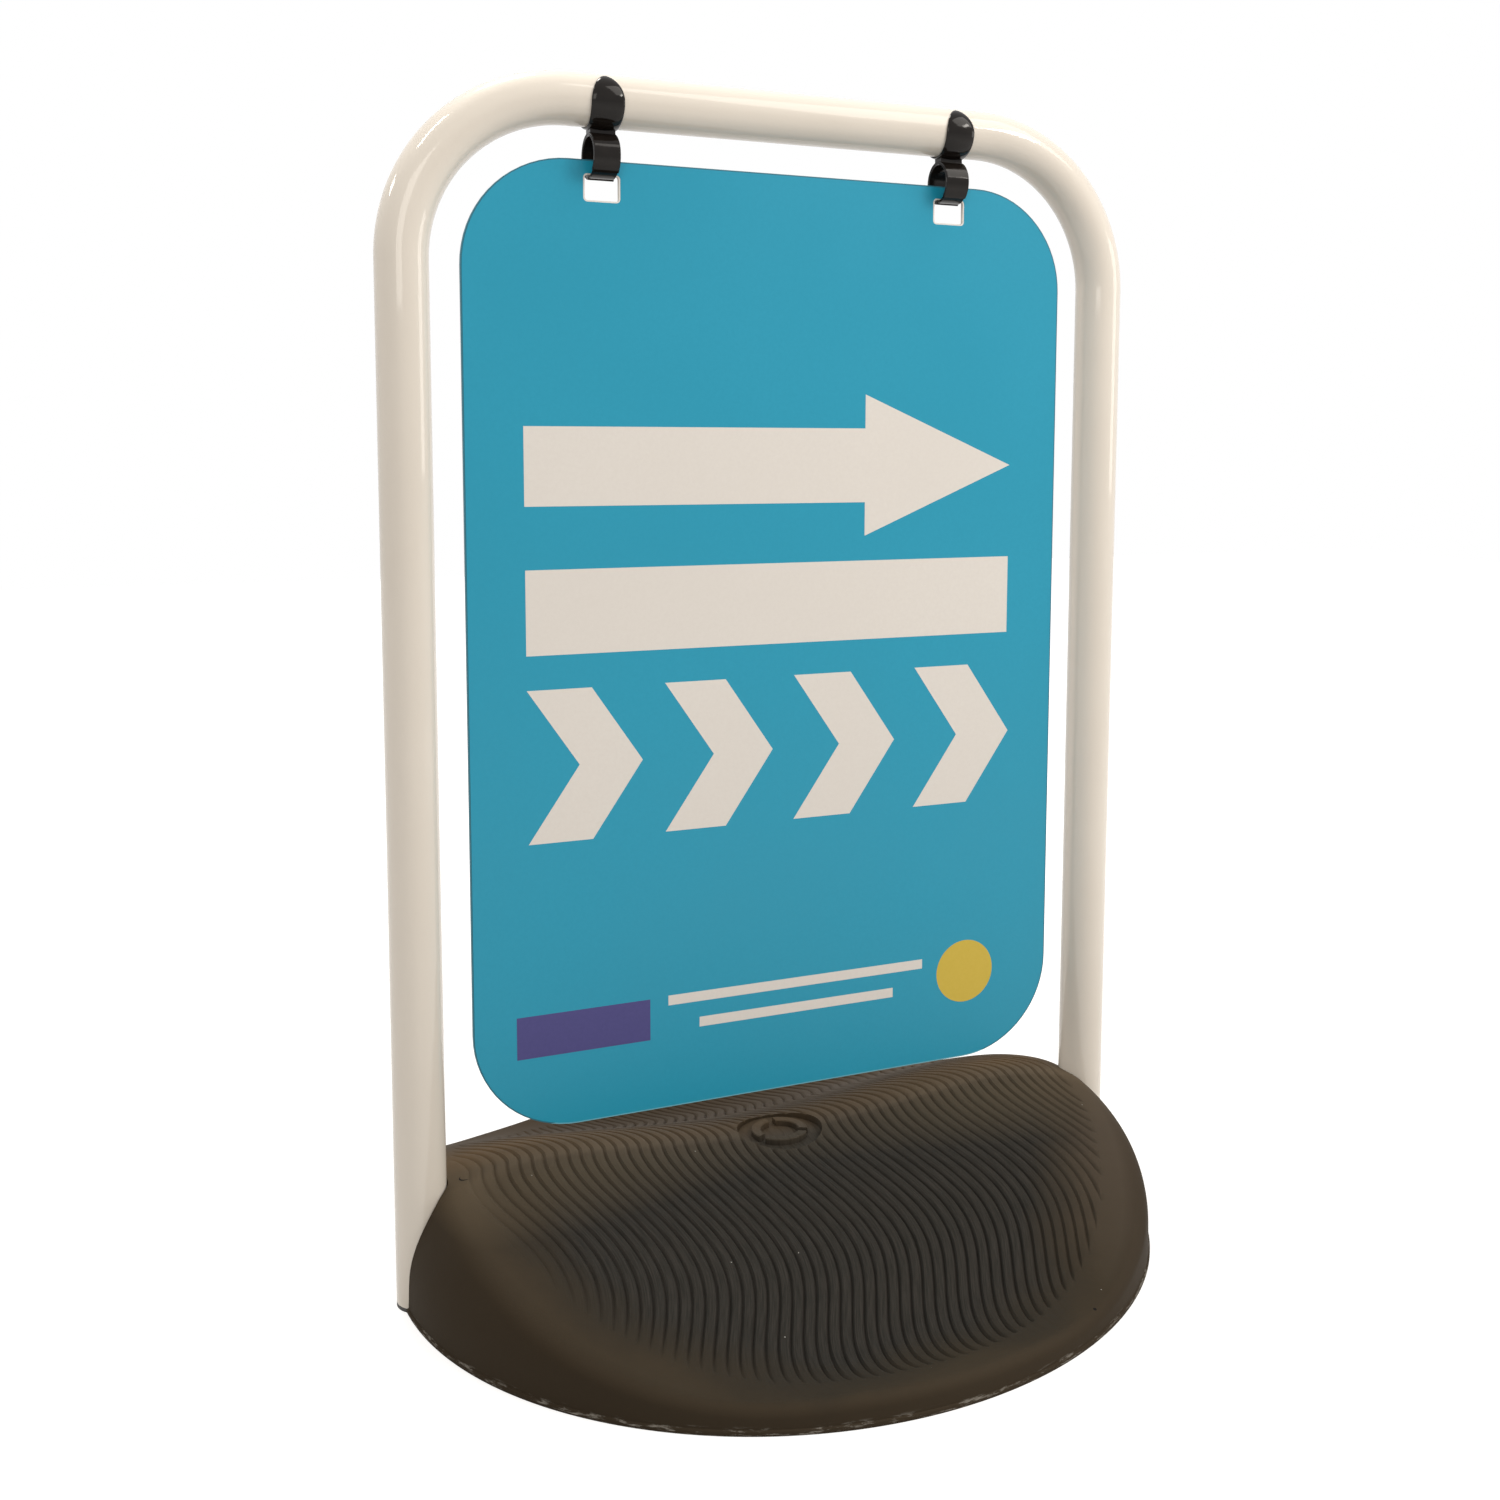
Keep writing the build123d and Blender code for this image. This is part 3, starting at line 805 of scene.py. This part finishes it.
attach(hoop, "stand")
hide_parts("frame_tube")


# Foot plugs: black moulded plastic, a disc with a short stem, pushed into the open end of each leg.
# The disc closes the tube and keeps its edge off the ground.
plug_blacks = (0.018, 0.017, 0.016, 1), (0.034, 0.032, 0.030, 1)


def finish_node(name, material):
    """Gives a carried-over node its material."""
    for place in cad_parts[name].material_slots:
        place.material = material


black_plug, shader, put, spot = start_material("black_plug")
fine = mottle(put, spot, 500.0)
wire(shader, Base_Color=blend_colours(put, fine, *plug_blacks), Roughness=0.55,
     Normal=bump(put, fine, 0.4, 0.0002))
for side in ("left", "right"):
    finish_node(side + "_end_plug", black_plug)


# Tie under the base: a plated steel strap with turned-up ends, bolts, washers and threaded inserts.
# It draws the two legs into their channels, so the hoop can't be lifted out.
zinc_tints = (0.52, 0.52, 0.50, 1), (0.68, 0.67, 0.62, 1)

bright_zinc, shader, put, spot = start_material("bright_zinc")
spangle = put("ShaderNodeTexVoronoi", spot, at={"Scale": 420.0})
haze = mottle(put, spot, 60.0, 4.0)
wire(shader, Base_Color=blend_colours(put, haze, *zinc_tints), Metallic=1.0,
     Roughness=fader(put)(haze, *mottle_span, 0.30, 0.46), Normal=bump(put, spangle, 0.3, 0.0001))
finish_node("tie_strap", bright_zinc)
for side in ("left", "right"):
    for part in ("_tie_bolt", "_tie_washer", "_rivet_nut"):
        finish_node(side + part, bright_zinc)


# Hangers: one glossy black nylon moulding each. A domed tongue on both sides grips the bar, and a
# strap below it closes to a ring with a stepped joint, low on its front.
slot_x = 0.145
clip_inner = 0.01906
clip_crown = 0.0030
clip_edge = 0.0009
clip_tip = math.radians(58)
clip_half_width = 0.0125
clip_least_half = 0.0007
clip_drop = 0.004
clip_tail = 0.055
clip_roundness = 0.6
clip_stations = 105
clip_crowding = 1.35
strap_half_width = 0.010
strap_corner = 0.0005
strap_nick = 0.0005
ring_height = 0.8517
ring_inner = 0.014
ring_wall = 0.003
ring_step = 0.0008
ring_lowest = -90
ring_joint = -48
ring_joint_run = 0.6
joint_stations = 16
ring_stations = 105
neck_half_depth = 0.005
neck_inset = 0.0004
neck_in_ring = 0.0012
neck_under_clip = 0.0006
nylon_blacks = (0.006, 0.0045, 0.004, 1), (0.014, 0.011, 0.009, 1)

black_nylon, shader, put, spot = start_material("black_nylon")
smear = mottle(put, spot, 90.0, 5.0)
wire(shader, Base_Color=blend_colours(put, smear, *nylon_blacks),
     Roughness=fader(put)(smear, *mottle_span, 0.07, 0.13), Specular_IOR_Level=0.20,
     Normal=bump(put, smear, 0.25, 0.0002))


def clip_width(rise):
    """Half width of the tongue at a height above the bar's middle."""
    top = (clip_inner + clip_crown / 2) * math.sin(clip_tip)
    share = (rise + clip_drop) / (top + clip_drop if rise > -clip_drop else clip_tail)
    return clip_half_width * max(1 - share * share, 0.0) ** clip_roundness


def clip_section(angle):
    """Section of the tongue at an angle round the bar, thick in the middle and thin at its edges."""
    half = max(clip_width((clip_inner + clip_crown / 2) * math.sin(angle)), clip_least_half)
    fullness = min(1.0, (half / clip_half_width) ** clip_roundness)
    section = []
    for s in np.sin(np.linspace(-math.pi / 2, math.pi / 2, 17)):
        thick = clip_edge + (clip_crown - clip_edge) * (1 - s * s) ** clip_roundness
        section.append((s * half, clip_inner + thick * fullness))
    for s in np.linspace(0.97, -0.97, 9):
        section.append((s * half, clip_inner))
    return section


def strap_section(thin):
    """Section of the ring's strap, with soft corners and a parting nick in each side."""
    half = strap_half_width - 0.6 * thin
    wall = ring_wall - thin
    right = [(half - strap_corner, 0), (half, strap_corner), (half, wall * 0.33),
             (half - strap_nick, wall * 0.42), (half - strap_nick, wall * 0.60), (half, wall * 0.69),
             (half, wall - strap_corner), (half - strap_corner, wall)]
    outer = [(x, wall) for x in np.linspace(half - 0.003, -half + 0.003, 5)]
    left = [(-x, r) for x, r in reversed(right)]
    return [(x, ring_inner + r) for x, r in [*right, *outer, *left]]


def swung(section, angle, centre_height):
    """A section of (place along the bar, radius), set at an angle round a centre."""
    return [(x, -r * math.cos(angle), centre_height + r * math.sin(angle)) for x, r in section]


def hanger(name, x_middle):
    """One moulding: the tongue is swept round the bar, and the ring and the neck are welded to it."""
    spread = np.linspace(-1, 1, clip_stations)
    sections = []
    for sweep in np.sign(spread) * (1 - (1 - np.abs(spread)) ** clip_crowding):
        angle = -math.pi / 2 - sweep * (math.pi / 2 + clip_tip)
        sections.append(swung(clip_section(angle), angle, bar_height))
    clip = loft(sections, name)
    stations = []
    for degrees in [*np.linspace(ring_lowest, ring_joint - ring_joint_run, joint_stations),
                    *np.linspace(ring_joint, ring_lowest + 360, ring_stations, endpoint=False)]:
        thin = ring_step if degrees < ring_joint else 0.0
        stations.append(swung(strap_section(thin), math.radians(degrees), ring_height))
    join_solids(clip, loft(stations, "ring", endless=True), "UNION")
    neck_half = strap_half_width - neck_inset
    neck = block("neck", (-neck_half, -neck_half_depth, ring_height + ring_inner + neck_in_ring),
                 (neck_half, neck_half_depth, bar_height - clip_inner - neck_under_clip))
    join_solids(clip, neck, "UNION")
    clip.data.transform(Matrix.Translation((x_middle, 0, 0)))
    paint(clip, black_nylon)
    smooth(clip, 38)
    return clip


for side, sign in (("left", -1), ("right", 1)):
    piece = hanger(side + "_clip_and_ring", sign * slot_x)
    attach(piece, side + "_hanger")
    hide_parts(side + "_hanger")


# Panel: a rigid white foam sheet with rounded corners and two punched slots, and a printed film
# laid on each face, trimmed just inside the sheet's edge. The edge itself is inked to match.
half_width = 0.250
half_height = 0.365
corner_radius = 0.080
middle_height = 0.484
inked_depth = 0.0014
bottom_edge_height = 0.122
sheet_whites = (0.74, 0.71, 0.67, 1), (0.82, 0.79, 0.75, 1)
edge_ink = (0.016, 0.150, 0.215, 1)
bottom_edge_ink = (0.16, 0.50, 0.62, 1)
film_blues = (0.012, 0.303, 0.465, 1), (0.020, 0.343, 0.525, 1)

white_sheet, shader, put, spot = start_material("white_sheet")
do = counter(put)
x, y, z = put("ShaderNodeSeparateXYZ", spot).node.outputs
skin = mottle(put, spot, 260.0, 3.0)
off_middle = do("ABSOLUTE", do("SUBTRACT", z, middle_height))
over_x = do("MAXIMUM", do("SUBTRACT", do("ABSOLUTE", x), half_width - corner_radius), 0.0)
over_z = do("MAXIMUM", do("SUBTRACT", off_middle, half_height - corner_radius), 0.0)
to_corner = do("SQRT", do("ADD", do("MULTIPLY", over_x, over_x), do("MULTIPLY", over_z, over_z)))
at_edge = do("LESS_THAN", do("SUBTRACT", corner_radius, to_corner), inked_depth)
ink = blend_colours(put, do("LESS_THAN", z, bottom_edge_height), edge_ink, bottom_edge_ink)
sheet_colour = blend_colours(put, skin, *sheet_whites)
wire(shader, Base_Color=blend_colours(put, at_edge, sheet_colour, ink), Roughness=0.5,
     Normal=bump(put, skin, 0.3, 0.0002))
finish_node("panel_board", white_sheet)


def film_of(name, tints):
    """Printed film under a satin laminate: dot grain in the ink and slow ripples in the sheet."""
    material, shader, put, spot = start_material(name)
    dots = mottle(put, spot, 380.0)
    slow = mottle(put, spot, 5.0)
    grain = put("ShaderNodeMath", dots, slow, operation="MULTIPLY")
    wire(shader, Base_Color=blend_colours(put, grain, *tints),
         Roughness=fader(put)(slow, *mottle_span, 0.30, 0.38), Specular_IOR_Level=0.4,
         Normal=bump(put, slow, 0.15, 0.0004))
    return material


blue_film = film_of("blue_film", film_blues)
finish_node("front_print", blue_film)
finish_node("rear_print", blue_film)


# Shapes on the film: plain cut vinyl, an arrow, a bar and chevrons in white, two thin rules, and a
# small bar and disc in colour, the same on both faces. Sizes run across and up from the panel's foot.
panel_foot = 0.119
film_face = 0.0017
vinyl_thickness = 0.00008
shape_reach = 0.206
arrow_middle = 0.5065
arrow_neck = 0.072
arrow_shaft_half = 0.0295
arrow_head_half = 0.0565
bar_low = 0.366
bar_high = 0.430
chevron_count = 4
chevron_pitch = 0.1083
chevron_low = 0.223
chevron_high = 0.340
chevron_thick = 0.050
chevron_point = 0.040
disc_middle = (0.1705, 0.0755)
disc_radius = 0.027
vinyl_whites = (0.74, 0.70, 0.66, 1), (0.82, 0.79, 0.75, 1)
vinyl_indigos = (0.055, 0.050, 0.200, 1), (0.080, 0.070, 0.260, 1)
vinyl_yellows = (0.62, 0.45, 0.05, 1), (0.70, 0.52, 0.08, 1)


def cut_shapes(name, outlines, material):
    """Thin flat shapes on the front film, and the same again on the rear film."""
    shapes = bmesh.new()
    for facing in (1, -1):
        vinyl_y = -facing * (film_face + vinyl_thickness)
        for outline in outlines:
            corners = [shapes.verts.new((facing * x, vinyl_y, panel_foot + z)) for x, z in outline]
            flat = shapes.faces.new(corners)
            flat.normal_update()
            if flat.normal.y * facing > 0:
                flat.normal_flip()
            wall = bmesh.ops.extrude_face_region(shapes, geom=[flat], use_keep_orig=True)
            for corner in wall["geom"]:
                if isinstance(corner, bmesh.types.BMVert):
                    corner.co.y += facing * vinyl_thickness
    bmesh.ops.recalc_face_normals(shapes, faces=shapes.faces)
    mesh = bpy.data.meshes.new(name)
    shapes.to_mesh(mesh)
    shapes.free()
    mesh.materials.append(material)
    piece = bpy.data.objects.new(name, mesh)
    scene.collection.objects.link(piece)
    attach(piece, "panel")


def bar(x0, x1, z0, z1):
    return [(x0, z0), (x1, z0), (x1, z1), (x0, z1)]


def chevron(x):
    """A chevron that points to the right, from the left end of its tail."""
    heel = x + chevron_thick
    middle = (chevron_low + chevron_high) / 2
    return [(x, chevron_low), (heel, chevron_low), (heel + chevron_point, middle), (heel, chevron_high),
            (x, chevron_high), (x + chevron_point, middle)]


arrow_low, arrow_high = arrow_middle - arrow_shaft_half, arrow_middle + arrow_shaft_half
arrow = [(-shape_reach, arrow_low), (arrow_neck, arrow_low), (arrow_neck, arrow_middle - arrow_head_half),
         (shape_reach, arrow_middle), (arrow_neck, arrow_middle + arrow_head_half), (arrow_neck, arrow_high),
         (-shape_reach, arrow_high)]
chevrons = [chevron(-shape_reach + chevron_pitch * k) for k in range(chevron_count)]
wide_bar = bar(-shape_reach, shape_reach, bar_low, bar_high)
rules = [bar(-0.096, 0.1295, 0.083, 0.091), bar(-0.070, 0.102, 0.062, 0.070)]
indigo_bar = bar(-0.217, -0.111, 0.057, 0.090)
disc = [(disc_middle[0] + disc_radius * math.cos(a), disc_middle[1] + disc_radius * math.sin(a))
        for a in round_angles(64)]
cut_shapes("white_shapes", [arrow, wide_bar, *chevrons, *rules], film_of("white_vinyl", vinyl_whites))
cut_shapes("indigo_bar", [indigo_bar], film_of("indigo_vinyl", vinyl_indigos))
cut_shapes("yellow_disc", [disc], film_of("yellow_vinyl", vinyl_yellows))
